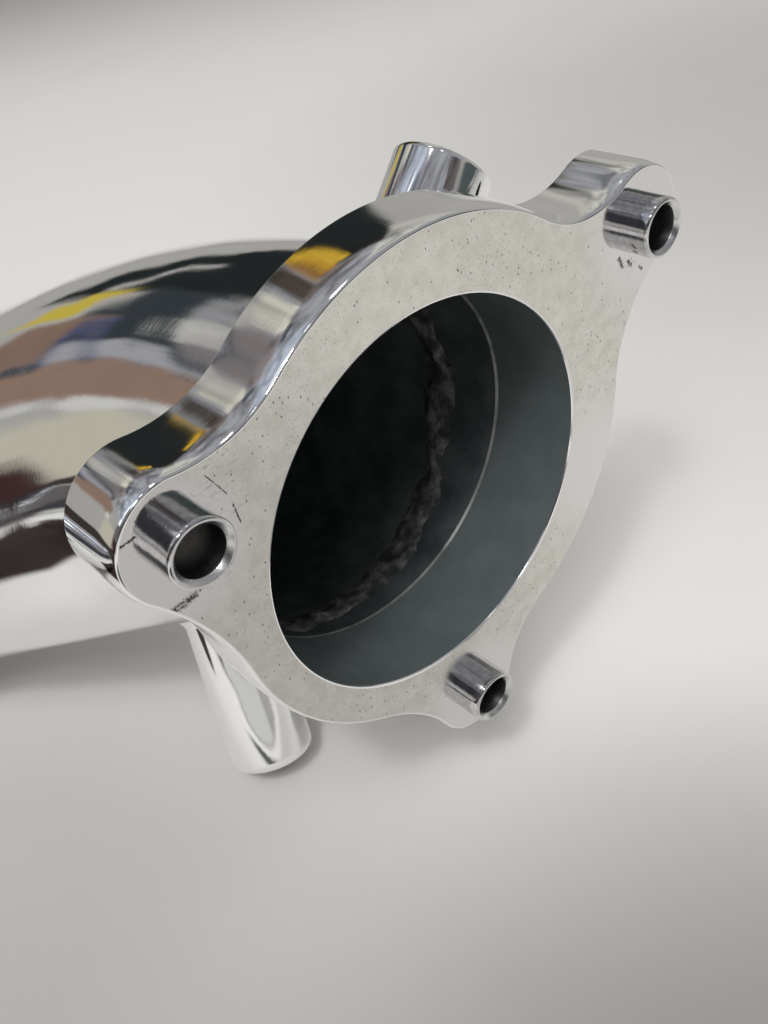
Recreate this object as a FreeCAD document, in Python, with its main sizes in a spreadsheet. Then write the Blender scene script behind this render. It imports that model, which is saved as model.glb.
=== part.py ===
import FreeCAD, Part
import math
import os
import Sketcher
from FreeCAD import Placement, Rotation, Vector

# Intercooler charge pipe: a machined three-ear flange with hollow dowels, a welded and
# polished aluminium tube with two bends, two welded bosses and a beaded hose end.
# The origin is the centre of the flange's face. The flange's axis is Y, the tube leaves
# towards +Y and its hose end points along -X. Z is up as the pipe lies on a table.

doc = FreeCAD.newDocument("ChargePipe")
sheet = doc.addObject("Spreadsheet::Sheet", "Sizes")


def size(alias, value):
    """Writes one driving dimension, in millimetres or degrees, to the sheet."""
    size.row += 1
    sheet.set("A%d" % size.row, alias)
    sheet.set("B%d" % size.row, str(value))
    sheet.setAlias("B%d" % size.row, alias)
    return value


size.row = 0

# Tube
tube_outer = size("tube_outer", 63.5)
tube_wall = size("tube_wall", 2.6)
bend_radius = size("bend_radius", 88.0)
bend_angle = size("bend_angle", 37.0)
bend_fall = size("bend_fall", 31.2)
straight_length = size("straight_length", 44.4)
rear_bend_radius = size("rear_bend_radius", 63.5)
outlet_length = size("outlet_length", 120.0)
stub_end_depth = size("stub_end_depth", 24.7)

# Rolled bead on the hose end
bead_height = size("bead_height", 1.6)
bead_width = size("bead_width", 5.0)
bead_setback = size("bead_setback", 6.0)
lip_round = size("lip_round", 0.6)

# Flange
plate_thickness = size("plate_thickness", 11.0)
neck_length = size("neck_length", 4.5)
bore_diameter = size("bore_diameter", 58.8)
rim_radius = size("rim_radius", 38.6)
rim_centre_x = size("rim_centre_x", 2.6)
rim_centre_z = size("rim_centre_z", 1.1)
edge_round = size("edge_round", 0.5)
bore_chamfer = size("bore_chamfer", 0.3)

# Hollow dowels and the bolt holes that they line
bolt_hole = size("bolt_hole", 6.6)
dowel_outer = size("dowel_outer", 9.0)
dowel_shank = size("dowel_shank", 8.6)
dowel_stand = size("dowel_stand", 4.0)
dowel_depth = size("dowel_depth", 6.0)
dowel_round = size("dowel_round", 0.6)
dowel_sink = size("dowel_sink", 0.5)
seat_chamfer = size("seat_chamfer", 0.3)

# Welds
groove_width = size("groove_width", 3.0)
groove_over = size("groove_over", 0.7)
root_gap = size("root_gap", 0.8)
root_width = size("root_width", 3.0)
root_height = size("root_height", 0.9)
boss_weld_leg = size("boss_weld_leg", 2.2)

# Bosses
port_diameter = size("port_diameter", 16.2)
port_height = size("port_height", 15.7)
port_bore = size("port_bore", 8.6)
port_round = size("port_round", 1.1)
port_place = size("port_place", 11.1)
port_turn = size("port_turn", -9.8)
post_diameter = size("post_diameter", 15.8)
post_height = size("post_height", 31.5)
post_bore = size("post_bore", 6.8)
post_bore_depth = size("post_bore_depth", 18.0)
post_round = size("post_round", 2.2)
post_place = size("post_place", 50.2)
post_turn = size("post_turn", 137.6)
boss_chamfer = size("boss_chamfer", 0.6)
drill_angle = size("drill_angle", 118.0)


def ear_sizes(name, reach, angle, radius, blend_before, blend_after):
    """An ear: the polar place of its bolt, its own radius and the radii that blend it
    into the rim on its clockwise side and on its other side."""
    return (name, size(name + "_reach", reach), size(name + "_angle", angle),
            size(name + "_ear_radius", radius), size(name + "_blend_before", blend_before),
            size(name + "_blend_after", blend_after))


ears = (
    ear_sizes("right", 51.8, 24.8, 8.9, 21.0, 16.0),
    ear_sizes("left", 42.1, 151.9, 8.9, 20.0, 42.0),
    ear_sizes("bottom", 41.6, 272.2, 8.7, 31.0, 15.5),
)

doc.recompute()

tube_radius = tube_outer / 2
inner_radius = tube_radius - tube_wall
neck_end = plate_thickness + neck_length
X_AXIS = Vector(1, 0, 0)
Y_AXIS = Vector(0, 1, 0)


def origin_plane(body, role):
    return [f for f in body.Origin.OriginFeatures if f.Role == role][0]


def new_sketch(body, name, role):
    sketch = body.newObject("Sketcher::SketchObject", name)
    sketch.AttachmentSupport = [(origin_plane(body, role), "")]
    sketch.MapMode = "FlatFace"
    return sketch


def add_circle(sketch, expression, radius, x=0.0, y=0.0):
    """Adds a circle whose radius follows the sheet."""
    circle = Part.Circle(Vector(x, y, 0), Vector(0, 0, 1), radius)
    index = sketch.addGeometry(circle, False)
    row = sketch.addConstraint(Sketcher.Constraint("Radius", index, radius))
    sketch.setExpression("Constraints[%d]" % row, expression)
    return index


def add_outline(sketch, curves):
    for curve in curves:
        sketch.addGeometry(curve, False)


def polygon(points):
    """Straight edges through the points, closed."""
    corners = [Vector(x, y, 0) for x, y in points]
    return [Part.LineSegment(a, b) for a, b in zip(corners, corners[1:] + corners[:1])]


def edges_where(shape, test):
    return ["Edge%d" % (i + 1) for i, edge in enumerate(shape.Edges) if test(edge)]


def revolve(body, sketch):
    turn = body.newObject("PartDesign::Revolution", body.Name + "_turn")
    turn.Profile = sketch
    turn.ReferenceAxis = (sketch, ["V_Axis"])
    turn.Angle = 360
    body.Tip = turn
    return turn


def new_body(name):
    return doc.addObject("PartDesign::Body", name)


def boolean(kind, name, base, tool):
    step = doc.addObject("Part::" + kind, name)
    step.Base = base
    step.Tool = tool
    return step


def frame_at(point, along, sideways):
    """Placement whose local Y runs along the tube and local X points sideways."""
    side = (sideways - along * sideways.dot(along)).normalize()
    up = side.cross(along)
    matrix = FreeCAD.Matrix(
        side.x, along.x, up.x, point.x,
        side.y, along.y, up.y, point.y,
        side.z, along.z, up.z, point.z,
        0, 0, 0, 1)
    return Placement(matrix)


# Centreline: neck, first bend, straight, second bend, outlet
fall = math.radians(bend_fall)
turn_one = math.radians(bend_angle)
inward = Vector(-math.cos(fall), 0, -math.sin(fall))
outward = inward * -1
bend_start = Y_AXIS * plate_thickness


def on_bend(angle):
    """Point and direction of the first bend's centreline."""
    point = bend_start + (Y_AXIS * math.sin(angle) + inward * (1 - math.cos(angle))) * bend_radius
    return point, Y_AXIS * math.cos(angle) + inward * math.sin(angle)


bend_end, heading = on_bend(turn_one)
straight_end = bend_end + heading * straight_length
outlet_heading = X_AXIS * -1
turn_two = heading.getAngle(outlet_heading)
rear_inward = (outlet_heading - heading * math.cos(turn_two)) * (1 / math.sin(turn_two))
outlet_start = straight_end + (heading * math.sin(turn_two)
                               + rear_inward * (1 - math.cos(turn_two))) * rear_bend_radius
stub_angle = math.asin((stub_end_depth - plate_thickness) / bend_radius)

front_place = frame_at(bend_start, Y_AXIS, outward)
rear_place = frame_at(straight_end, heading, rear_inward * -1)
outlet_place = frame_at(outlet_start, outlet_heading, Vector(0, 1, 0))


def bolt_place(reach, angle):
    """The x and z of an ear's bolt."""
    return reach * math.cos(math.radians(angle)), reach * math.sin(math.radians(angle))


def outline_arcs():
    """The plate's outline: rim arcs, ear arcs and the hollow arcs that blend them."""
    centre = Vector(rim_centre_x, rim_centre_z, 0)
    corners = []
    for name, reach, angle, ear_radius, blend_before, blend_after in ears:
        ear = Vector(*bolt_place(reach, angle), 0)
        ray = ear - centre
        gap = ray.Length
        ray.normalize()
        left = Vector(-ray.y, ray.x, 0)
        blends = []
        for blend, side in ((blend_before, -1), (blend_after, 1)):
            from_rim = rim_radius + blend
            from_ear = ear_radius + blend
            along = (from_rim ** 2 - from_ear ** 2 + gap ** 2) / (2 * gap)
            across = math.sqrt(from_rim ** 2 - along ** 2) * side
            hollow = centre + ray * along + left * across
            rim_point = centre + (hollow - centre) * (rim_radius / from_rim)
            tip_point = ear + (hollow - ear) * (ear_radius / from_ear)
            chord = (rim_point + tip_point) * 0.5 - hollow
            middle = hollow + chord.normalize() * blend
            blends.append((rim_point, middle, tip_point))
        tip = ear + ray * ear_radius
        corners.append((blends[0], tip, blends[1]))
    arcs = []
    for (before, tip, after), (following, _, _) in zip(corners, corners[1:] + corners[:1]):
        arcs.append(Part.Arc(before[0], before[1], before[2]))
        arcs.append(Part.Arc(before[2], tip, after[2]))
        arcs.append(Part.Arc(after[2], after[1], after[0]))
        chord = (after[0] + following[0]) * 0.5 - centre
        arcs.append(Part.Arc(after[0], centre + chord.normalize() * rim_radius, following[0]))
    return arcs


def make_plate():
    """Plate with three ears, with its bolt holes and the seats of the dowels."""
    body = new_body("plate_body")
    outline = new_sketch(body, "plate_outline", "XZ_Plane")
    add_outline(outline, outline_arcs())
    plate = body.newObject("PartDesign::Pad", "plate")
    plate.Profile = outline
    plate.Reversed = True
    plate.setExpression("Length", "Sizes.plate_thickness")
    doc.recompute()
    rim = edges_where(plate.Shape, lambda e: e.BoundBox.YLength < 0.001)
    rounded = body.newObject("PartDesign::Fillet", "rim_round")
    rounded.Base = (plate, rim)
    rounded.setExpression("Radius", "Sizes.edge_round")
    seats = new_sketch(body, "dowel_seats", "XZ_Plane")
    holes = new_sketch(body, "bolt_holes", "XZ_Plane")
    for name, reach, angle, *_ in ears:
        x, z = bolt_place(reach, angle)
        add_circle(seats, "Sizes.dowel_shank / 2", dowel_shank / 2, x, z)
        add_circle(holes, "Sizes.bolt_hole / 2", bolt_hole / 2, x, z)
    drilled = body.newObject("PartDesign::Pocket", "drilled")
    drilled.Profile = holes
    drilled.Type = "ThroughAll"
    drilled.Midplane = True
    reamed = body.newObject("PartDesign::Pocket", "reamed")
    reamed.Profile = seats
    reamed.setExpression("Length", "Sizes.dowel_depth")
    doc.recompute()
    mouths = edges_where(reamed.Shape, lambda e: hasattr(e.Curve, "Radius") and e.BoundBox.YMax < 0.001
                         and abs(e.Curve.Radius - dowel_shank / 2) < 0.001)
    broken = body.newObject("PartDesign::Chamfer", "seat_mouths")
    broken.Base = (reamed, mouths)
    broken.setExpression("Size", "Sizes.seat_chamfer")
    body.Tip = broken
    return body


def make_bore_tool():
    """Machined bore of the plate and the neck, with its broken front edge."""
    body = new_body("bore_tool")
    section = new_sketch(body, "bore_section", "XY_Plane")
    radius = bore_diameter / 2
    add_outline(section, polygon([
        (0, -bore_chamfer), (radius + 2 * bore_chamfer, -bore_chamfer), (radius, bore_chamfer),
        (radius, neck_end), (0, neck_end)]))
    revolve(body, section)
    return body


def make_dowel(name, reach, angle):
    """Hollow dowel: a turned sleeve with a rounded, countersunk end and a slimmer shank."""
    body = new_body(name)
    section = new_sketch(body, name + "_section", "XY_Plane")
    outer = dowel_outer / 2
    shank = dowel_shank / 2
    inner = bolt_hole / 2
    low = -dowel_stand
    high = dowel_depth
    soft = dowel_round * (1 - math.sqrt(0.5))
    rim_start = Vector(outer - dowel_round, low, 0)
    rim_end = Vector(outer, low + dowel_round, 0)
    section.addGeometry(Part.Arc(rim_start, Vector(outer - soft, low + soft, 0), rim_end), False)
    path = [rim_end, Vector(outer, 0, 0), Vector(shank, outer - shank, 0), Vector(shank, high, 0),
            Vector(inner, high, 0), Vector(inner, low + dowel_sink, 0),
            Vector(inner + dowel_sink, low, 0), rim_start]
    add_outline(section, [Part.LineSegment(a, b) for a, b in zip(path, path[1:])])
    revolve(body, section)
    x, z = bolt_place(reach, angle)
    body.Placement = Placement(Vector(x, 0, z), Rotation())
    return body


def sweep(name, place, bend, turn, straight, rings, start=0.0):
    """Round bar or tube along an arc that bends towards local -X, then a straight."""
    body = new_body(name)
    profile = new_sketch(body, name + "_ring", "XZ_Plane")
    for expression, radius in rings:
        add_circle(profile, expression, radius)
    spine = new_sketch(body, name + "_line", "XY_Plane")
    arc = Part.Circle(Vector(-bend, 0, 0), Vector(0, 0, 1), bend)
    spine.addGeometry(Part.ArcOfCircle(arc, 0, turn - start), False)
    edges = ["Edge1"]
    if straight > 0:
        swing = turn - start
        end = Vector(bend * math.cos(swing) - bend, bend * math.sin(swing), 0)
        ahead = Vector(-math.sin(swing), math.cos(swing), 0)
        spine.addGeometry(Part.LineSegment(end, end + ahead * straight), False)
        edges.append("Edge2")
    doc.recompute()
    pipe = body.newObject("PartDesign::AdditivePipe", name + "_sweep")
    pipe.Profile = profile
    pipe.Spine = (spine, edges)
    body.Tip = pipe
    body.Placement = place
    return body


WALL = (("Sizes.tube_outer / 2", tube_radius), ("Sizes.tube_outer / 2 - Sizes.tube_wall", inner_radius))
SOLID = WALL[:1]


def make_stub():
    """Short curved stub between the neck and the first bend, cut square at the neck."""
    stub = sweep("stub_sweep", front_place, bend_radius, stub_angle, 0, WALL)
    trim = new_sketch(stub, "stub_trim", "XZ_Plane")
    add_circle(trim, "Sizes.tube_outer", tube_outer)
    squared = stub.newObject("PartDesign::Pocket", "squared")
    squared.Profile = trim
    squared.setExpression("Length", "Sizes.neck_length")
    stub.Tip = squared
    return stub


def make_outlet():
    """Straight outlet with a rolled bead near its open end."""
    body = new_body("outlet_sweep")
    section = new_sketch(body, "outlet_section", "XY_Plane")
    bead_start = outlet_length - bead_setback - bead_width
    bead_end = outlet_length - bead_setback
    bead_middle = (bead_start + bead_end) / 2
    half = lip_round * (1 - math.sqrt(0.5))

    def wall(radius):
        return [Vector(radius, 0, 0), Vector(radius, bead_start, 0),
                Vector(radius + bead_height, bead_middle, 0), Vector(radius, bead_end, 0),
                Vector(radius, outlet_length, 0)]

    outside = wall(tube_radius)
    inside = wall(inner_radius)
    lip_side = outside[4] - Vector(0, lip_round, 0)
    lip_end = outside[4] - Vector(lip_round, 0, 0)
    add_outline(section, [
        Part.LineSegment(inside[0], outside[0]),
        Part.LineSegment(outside[0], outside[1]),
        Part.Arc(outside[1], outside[2], outside[3]),
        Part.LineSegment(outside[3], lip_side),
        Part.Arc(lip_side, Vector(tube_radius - half, outlet_length - half, 0), lip_end),
        Part.LineSegment(lip_end, inside[4]),
        Part.LineSegment(inside[4], inside[3]),
        Part.Arc(inside[3], inside[2], inside[1]),
        Part.LineSegment(inside[1], inside[0])])
    revolve(body, section)
    body.Placement = outlet_place
    return body


def make_seam(name, place):
    """Butt weld: a V filled through the wall, with a rounded root bead inside."""
    body = new_body(name)
    section = new_sketch(body, name + "_section", "XY_Plane")
    proud = tube_radius + groove_over
    slope = (groove_width - root_gap) / 2 / tube_wall
    wide = groove_width / 2 + groove_over * slope
    add_outline(section, [
        Part.Arc(Vector(inner_radius, root_width / 2, 0), Vector(inner_radius - root_height, 0, 0),
                 Vector(inner_radius, -root_width / 2, 0)),
        Part.LineSegment(Vector(inner_radius, -root_width / 2, 0), Vector(inner_radius, -root_gap / 2, 0)),
        Part.LineSegment(Vector(inner_radius, -root_gap / 2, 0), Vector(proud, -wide, 0)),
        Part.LineSegment(Vector(proud, -wide, 0), Vector(proud, wide, 0)),
        Part.LineSegment(Vector(proud, wide, 0), Vector(inner_radius, root_gap / 2, 0)),
        Part.LineSegment(Vector(inner_radius, root_gap / 2, 0), Vector(inner_radius, root_width / 2, 0))])
    revolve(body, section)
    body.Placement = place
    return body


def make_neck_groove(name):
    """Outer V of the weld at the neck, which stops short of the machined bore."""
    body = new_body(name)
    section = new_sketch(body, name + "_section", "XY_Plane")
    proud = tube_radius + groove_over
    wide = groove_width / 2 + groove_over
    add_outline(section, polygon([(tube_radius - groove_width / 2, 0), (proud, -wide), (proud, wide)]))
    revolve(body, section)
    body.Placement = Placement(Y_AXIS * neck_end, Rotation())
    return body


def boss_place(along_bend, turned):
    """Placement of a boss: local Y points out of the tube, radially, at that place."""
    point, ahead = on_bend(along_bend / bend_radius)
    away = (outward - ahead * outward.dot(ahead)).normalize()
    radial = Rotation(ahead, turned).multVec(away)
    return frame_at(point, radial, ahead)


def make_boss(name, diameter, height, corner, hole, depth, place):
    """Turned boss with a rounded rim and a hole down its axis."""
    body = new_body(name)
    section = new_sketch(body, name + "_section", "XY_Plane")
    outer = diameter / 2
    inner = hole / 2
    foot = math.sqrt(tube_radius ** 2 - outer ** 2) - tube_wall / 2
    top = tube_radius + height
    soft = corner * (1 - math.sqrt(0.5))
    if depth:
        floor = top - depth
        point = floor - inner / math.tan(math.radians(drill_angle / 2))
        base = [Vector(0, point, 0), Vector(0, foot, 0)]
        tip = [Vector(inner, floor, 0)]
    else:
        base = [Vector(inner, foot, 0)]
        tip = []
    path = base + [Vector(outer, foot, 0), Vector(outer, top - corner, 0)]
    back = [Vector(outer - corner, top, 0), Vector(inner + boss_chamfer, top, 0),
            Vector(inner, top - boss_chamfer, 0)] + tip
    for a, b in zip(path, path[1:]):
        section.addGeometry(Part.LineSegment(a, b), False)
    section.addGeometry(Part.Arc(path[-1], Vector(outer - soft, top - soft, 0), back[0]), False)
    for a, b in zip(back, back[1:] + [path[0]]):
        section.addGeometry(Part.LineSegment(a, b), False)
    revolve(body, section)
    body.Placement = place
    return body


def make_drill(name, diameter, place):
    drill = doc.addObject("Part::Cylinder", name)
    drill.Radius = diameter / 2
    drill.setExpression("Height", "Sizes.tube_outer")
    drill.Placement = place.multiply(Placement(Vector(0, 0, 0), Rotation(X_AXIS, -90)))
    return drill


def fillet_weld(name, boss, bar, leg, place, radius):
    """Concave weld in the corner between a boss and the tube."""
    joined = boolean("Fuse", name + "_joined", bar, boss)
    doc.recompute()
    back = place.inverse()

    def on_saddle(edge):
        if edge.Degenerated:
            return False
        first, last = edge.ParameterRange
        spots = [back.multVec(edge.valueAt(first + (last - first) * part / 6)) for part in range(7)]
        return all(abs(math.hypot(p.x, p.z) - radius) < 0.01 and p.y < tube_radius + 0.5 for p in spots)

    chosen = [i + 1 for i, edge in enumerate(joined.Shape.Edges) if on_saddle(edge)]
    blended = doc.addObject("Part::Fillet", name + "_blended")
    blended.Base = joined
    blended.Edges = [(i, leg, leg) for i in chosen]
    doc.recompute()
    return boolean("Cut", name, blended, joined)


plate_body = make_plate()
bore_tool = make_bore_tool()
dowels = [make_dowel("dowel_" + name, reach, angle) for name, reach, angle, *_ in ears]

stub = make_stub()
bend_place = frame_at(*on_bend(stub_angle), outward)
front = sweep("front_sweep", bend_place, bend_radius, turn_one, straight_length, WALL, stub_angle)
rear = sweep("rear_sweep", rear_place, rear_bend_radius, turn_two, 0, WALL)
outlet = make_outlet()
bar = sweep("bar", front_place, bend_radius, turn_one, straight_length, SOLID)
rear_bar = sweep("rear_bar", rear_place, rear_bend_radius, turn_two, 0, SOLID)
outlet_bar = doc.addObject("Part::Cylinder", "outlet_bar")
outlet_bar.setExpression("Radius", "Sizes.tube_outer / 2")
outlet_bar.setExpression("Height", "Sizes.groove_width * 2")
outlet_bar.Placement = outlet_place.multiply(Placement(Vector(0, 0, 0), Rotation(X_AXIS, -90)))
neck_groove = make_neck_groove("neck_groove")
stub_seam = make_seam("stub_seam", bend_place)
middle_seam = make_seam("middle_seam", rear_place)
outlet_seam = make_seam("outlet_seam", outlet_place)

port_at = boss_place(port_place, port_turn)
post_at = boss_place(post_place, post_turn)
port_raw = make_boss("port_raw", port_diameter, port_height, port_round, port_bore, 0, port_at)
post_raw = make_boss("post_raw", post_diameter, post_height, post_round, post_bore, post_bore_depth, post_at)
port_drill = make_drill("port_drill", port_bore, port_at)
doc.recompute()


def carve(name, base, tools):
    """Cuts the tools out of the base, one after the other."""
    for number, tool in enumerate(tools):
        base = boolean("Cut", "%s_cut_%d" % (name, number + 1), base, tool)
    return base


def seam_metal(name, seam, bars):
    """The seam's metal, dressed flush with the bars that meet there."""
    halves = [boolean("Common", "%s_half_%d" % (name, n + 1), seam, bar_) for n, bar_ in enumerate(bars)]
    return boolean("Fuse", name + "_metal", halves[0], halves[1]) if len(halves) > 1 else halves[0]


neck_zone = doc.addObject("Part::Cylinder", "neck_zone")
neck_zone.setExpression("Radius", "Sizes.tube_outer")
neck_zone.setExpression("Height", "Sizes.plate_thickness + Sizes.neck_length")
neck_zone.Placement = Placement(Vector(0, 0, 0), Rotation(X_AXIS, -90))
neck = boolean("Common", "neck", bar, neck_zone)
flange_blank = boolean("Fuse", "flange_blank", plate_body, neck)

nodes = {
    "flange": carve("flange", flange_blank, [bore_tool, neck_groove]),
    "stub_tube": carve("stub", stub, [neck_groove, stub_seam, port_drill]),
    "front_bend": carve("front", front, [stub_seam, middle_seam, port_drill]),
    "rear_bend": carve("rear", rear, [middle_seam, outlet_seam]),
    "outlet_tube": carve("outlet", outlet, [outlet_seam]),
    "neck_weld": seam_metal("neck_weld", neck_groove, [bar]),
    "stub_weld": carve("stub_weld", seam_metal("stub_weld", stub_seam, [bar]), [port_drill]),
    "middle_weld": seam_metal("middle_weld", middle_seam, [bar, rear_bar]),
    "outlet_weld": seam_metal("outlet_weld", outlet_seam, [rear_bar, outlet_bar]),
    "port_boss": carve("port", port_raw, [bar]),
    "mounting_post": carve("post", post_raw, [bar]),
}
for name, boss, place, diameter in (("port_boss_weld", port_raw, port_at, port_diameter),
                                    ("post_weld", post_raw, post_at, post_diameter)):
    nodes[name] = fillet_weld(name, boss, bar, boss_weld_leg, place, diameter / 2)
for dowel, (name, *_) in zip(dowels, ears):
    nodes["dowel_" + name] = dowel

doc.recompute()

for item in doc.Objects:
    if "Invalid" in item.State or "Error" in item.State:
        raise RuntimeError("%s failed: %s" % (item.Name, item.State))
for name, node in nodes.items():
    node.Label = name
    if node.Shape.isNull() or not node.Shape.isValid() or not node.Shape.Solids:
        raise RuntimeError("%s has no valid solid" % name)

os.makedirs("parts", exist_ok=True)
for name, node in nodes.items():
    node.Shape.exportStep("parts/%s.step" % name)
    print("%-16s solids %d volume %9.1f" % (name, len(node.Shape.Solids), node.Shape.Volume))
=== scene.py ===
import math

import bmesh
import bpy
from mathutils import Matrix, Vector, noise
from mathutils.geometry import delaunay_2d_cdt


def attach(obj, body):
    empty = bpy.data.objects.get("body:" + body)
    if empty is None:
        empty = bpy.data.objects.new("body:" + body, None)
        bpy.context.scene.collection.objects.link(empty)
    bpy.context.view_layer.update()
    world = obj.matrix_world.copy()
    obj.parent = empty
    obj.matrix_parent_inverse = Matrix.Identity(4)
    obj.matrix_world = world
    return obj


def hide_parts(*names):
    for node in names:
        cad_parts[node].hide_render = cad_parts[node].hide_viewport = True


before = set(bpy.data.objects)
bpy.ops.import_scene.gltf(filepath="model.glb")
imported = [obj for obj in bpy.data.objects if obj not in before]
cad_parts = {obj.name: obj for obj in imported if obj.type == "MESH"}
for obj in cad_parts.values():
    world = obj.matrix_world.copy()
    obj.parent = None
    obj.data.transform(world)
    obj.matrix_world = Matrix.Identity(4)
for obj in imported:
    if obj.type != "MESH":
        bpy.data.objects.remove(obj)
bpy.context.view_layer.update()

# Lengths are in millimetres and are turned into metres when a mesh is made.
MM = 0.001
BODY = "root"

# Tube
TUBE_R = 31.75
INNER_R = 29.15
BORE_R = 29.4
BEND_R = 88.0
TURN = math.radians(37.0)
FALL = math.radians(31.2)
STRAIGHT = 44.4
REAR_R = 63.5
OUTLET = 120.0
PLATE = 11.0
NECK_END = 15.5
NECK = NECK_END - PLATE
ROOT_DEPTH = 24.7
STUB_ANGLE = math.asin((ROOT_DEPTH - PLATE) / BEND_R)
STUB_MOUTH = 0.4
GROOVE = 1.5
ROOT_GAP = 0.4

X_AXIS = Vector((1, 0, 0))
Y_AXIS = Vector((0, 1, 0))
INWARD = Vector((-math.cos(FALL), 0, -math.sin(FALL)))
OUTWARD = -INWARD
BEND_START = Y_AXIS * PLATE


class Arc:
    """A bent stretch of the centreline."""

    def __init__(self, start, heading, inward, radius, turn):
        self.start, self.heading, self.inward = start, heading, inward
        self.radius, self.turn = radius, turn
        self.binormal = inward.cross(heading)

    def point(self, angle, across, round_angle):
        """A point at that distance from the centreline; round_angle 0 is the bend's outside."""
        reach = self.radius + across * math.cos(round_angle)
        turned = self.heading * math.sin(angle) - self.inward * math.cos(angle)
        return (self.start + self.inward * self.radius + turned * reach
                + self.binormal * (across * math.sin(round_angle)))

    def end(self):
        return self.start + (self.heading * math.sin(self.turn)
                             + self.inward * (1 - math.cos(self.turn))) * self.radius

    def end_heading(self):
        return self.heading * math.cos(self.turn) + self.inward * math.sin(self.turn)

    def plane_angle(self, angle, offset, across, round_angle):
        """The angle at which a surface line meets the plane at angle, moved along by offset."""
        return angle + math.asin(offset / (self.radius + across * math.cos(round_angle)))


front_arc = Arc(BEND_START, Y_AXIS, INWARD, BEND_R, TURN)
bend_end, heading = front_arc.end(), front_arc.end_heading()
straight_end = bend_end + heading * STRAIGHT
outlet_heading = -X_AXIS
turn_two = heading.angle(outlet_heading)
rear_inward = (outlet_heading - heading * math.cos(turn_two)) / math.sin(turn_two)
rear_arc = Arc(straight_end, heading, rear_inward, REAR_R, turn_two)


# Nodes and materials

def socket(node, name, value):
    """Sets an input, by a value or by linking the socket that is given."""
    if isinstance(value, bpy.types.NodeSocket):
        node.id_data.links.new(value, node.inputs[name])
    else:
        node.inputs[name].default_value = value


class Nodes:
    """Short calls that add shader nodes to one tree."""

    def __init__(self, tree):
        self.tree = tree

    def new(self, kind, **settings):
        node = self.tree.nodes.new(kind)
        for key, value in settings.items():
            setattr(node, key, value)
        return node

    def math(self, operation, a, b=0.0, c=0.0):
        node = self.new("ShaderNodeMath", operation=operation)
        for index, value in enumerate((a, b, c)):
            socket(node, index, value)
        return node.outputs[0]

    def smooth(self, value, low, high, to_low=0.0, to_high=1.0):
        """Goes smoothly from to_low to to_high while the value goes from low to high."""
        node = self.new("ShaderNodeMapRange", interpolation_type="SMOOTHSTEP")
        socket(node, "Value", value)
        limits = (("From Min", low), ("From Max", high), ("To Min", to_low), ("To Max", to_high))
        for name, number in limits:
            socket(node, name, number)
        return node.outputs[0]

    def mix(self, factor, a, b):
        node = self.new("ShaderNodeMix", data_type="RGBA")
        socket(node, 0, factor)
        socket(node, 6, a)
        socket(node, 7, b)
        return node.outputs[2]

    def tint(self, colour, factor):
        """The colour times a number."""
        node = self.new("ShaderNodeVectorMath", operation="SCALE")
        socket(node, 0, colour)
        socket(node, "Scale", factor)
        return node.outputs[0]

    def noise(self, vector, scale, detail=2.0, roughness=0.5):
        node = self.new("ShaderNodeTexNoise")
        socket(node, "Vector", vector)
        socket(node, "Scale", scale)
        socket(node, "Detail", detail)
        socket(node, "Roughness", roughness)
        return node.outputs[0]

    def cells(self, vector, scale, randomness=1.0):
        node = self.new("ShaderNodeTexVoronoi")
        socket(node, "Vector", vector)
        socket(node, "Scale", scale)
        socket(node, "Randomness", randomness)
        return node

    def place(self, vector, scale=(1, 1, 1), turn=(0, 0, 0), move=(0, 0, 0)):
        node = self.new("ShaderNodeMapping")
        socket(node, "Vector", vector)
        socket(node, "Location", move)
        socket(node, "Rotation", turn)
        socket(node, "Scale", scale)
        return node.outputs[0]

    def bump(self, height, distance, strength=1.0, normal=None):
        node = self.new("ShaderNodeBump")
        socket(node, "Height", height)
        socket(node, "Distance", distance)
        socket(node, "Strength", strength)
        if normal is not None:
            socket(node, "Normal", normal)
        return node.outputs[0]


def material(name, metallic=1.0):
    """A new material: its node helper, its shader and the coordinates in millimetres."""
    made = bpy.data.materials.new(name)
    made.use_nodes = True
    nodes = Nodes(made.node_tree)
    shader = made.node_tree.nodes["Principled BSDF"]
    socket(shader, "Metallic", metallic)
    coords = nodes.new("ShaderNodeTexCoord").outputs["Object"]
    return made, nodes, shader, nodes.place(coords, scale=(1000, 1000, 1000))


def grey(value, warmth=0.0):
    return (value * (1 + warmth), value, value * (1 - warmth), 1)


def polished(name, tone=0.86, haze=0.035):
    """Mirror-polished aluminium: faint waviness, hairlines from the wheel and small pits."""
    made, n, shader, mm = material(name)
    waves = n.noise(mm, 0.05, 1.0)
    hair = n.noise(n.place(mm, scale=(0.25, 4.0, 0.6), turn=(0.5, 0.3, 0.4)), 1.0, 3.0, 0.6)
    hair_two = n.noise(n.place(mm, scale=(3.5, 0.2, 0.5), turn=(0.2, 0.9, 1.1)), 1.0, 3.0, 0.6)
    cloud = n.noise(mm, 0.12, 3.0, 0.6)
    pits = n.cells(mm, 0.28)
    pit = n.smooth(pits.outputs["Distance"], 0.05, 0.12, 1.0, 0.0)
    few = n.smooth(pits.outputs["Color"], 0.90, 0.93)
    pit = n.math("MULTIPLY", pit, few)
    base = n.mix(cloud, grey(tone, -0.01), grey(tone + 0.06))
    socket(shader, "Base Color", n.mix(pit, base, grey(0.10)))
    rough = n.smooth(cloud, 0.35, 0.8, haze, haze + 0.05)
    rough = n.math("MULTIPLY_ADD", n.smooth(hair, 0.55, 0.75), 0.03, rough)
    socket(shader, "Roughness", n.math("MULTIPLY_ADD", pit, 0.4, rough))
    normal = n.bump(waves, 0.0012, 0.35)
    normal = n.bump(hair, 0.00001, 0.35, normal)
    normal = n.bump(hair_two, 0.00001, 0.25, normal)
    socket(shader, "Normal", n.bump(pit, -0.0001, 0.5, normal))
    return made


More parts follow.
